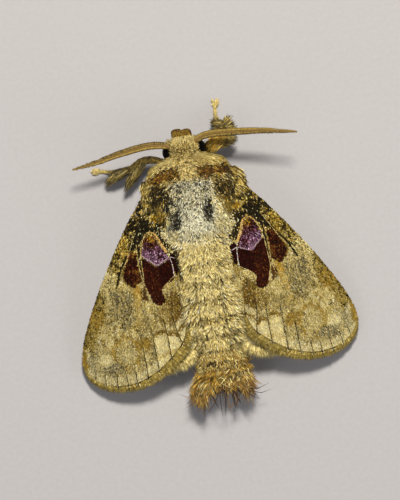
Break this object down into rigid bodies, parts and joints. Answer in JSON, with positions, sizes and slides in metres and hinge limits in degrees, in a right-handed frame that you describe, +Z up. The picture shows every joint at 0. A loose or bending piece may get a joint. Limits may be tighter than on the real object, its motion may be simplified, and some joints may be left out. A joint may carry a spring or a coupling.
{
  "type": "chalcoscelides castaneipars moth",
  "caption": "Life-size still model of a resting cup moth with a furry body, veined roof-like wings with chestnut patches, comb antennae and tufted forelegs.",
  "frame": {"origin": "middle of the bounding box in plan, at the level of the floor that the feet stand on", "axes": "-Y towards the head, +X towards the moth's own left, +Z up"},
  "size_m": [0.0274, 0.0304, 0.0071],
  "materials": {
    "pale_coat": "soft matte coat of cream and grey-white hair scales with dark flecks",
    "tail_coat": "long cream to golden-brown hair scales",
    "eye_gloss": "glossy black compound eye with fine facets",
    "palp_scales": "golden-brown scales, matte",
    "antenna_comb": "tan shaft with close dark comb teeth, matte",
    "forewing_scales": "matte ochre wing scales with chestnut, lilac and black marks",
    "hindwing_scales": "matte pale cream wing scales",
    "leg_coat": "dark olive-brown to golden scale tufts, matte"
  },
  "bodies": {
    "root": {"head": "pale_coat", "thorax": "pale_coat", "abdomen": "tail_coat", "eye_left": "eye_gloss", "eye_right": "eye_gloss", "palp_left": "palp_scales", "palp_right": "palp_scales", "antenna_left": "antenna_comb", "antenna_right": "antenna_comb", "forewing_left": "forewing_scales", "forewing_right": "forewing_scales", "hindwing_left": "hindwing_scales", "hindwing_right": "hindwing_scales", "foreleg_left": "leg_coat", "foreleg_right": "leg_coat", "midleg_left": "leg_coat", "midleg_right": "leg_coat", "hindleg_left": "leg_coat", "hindleg_right": "leg_coat"}
  },
  "joints": []
}
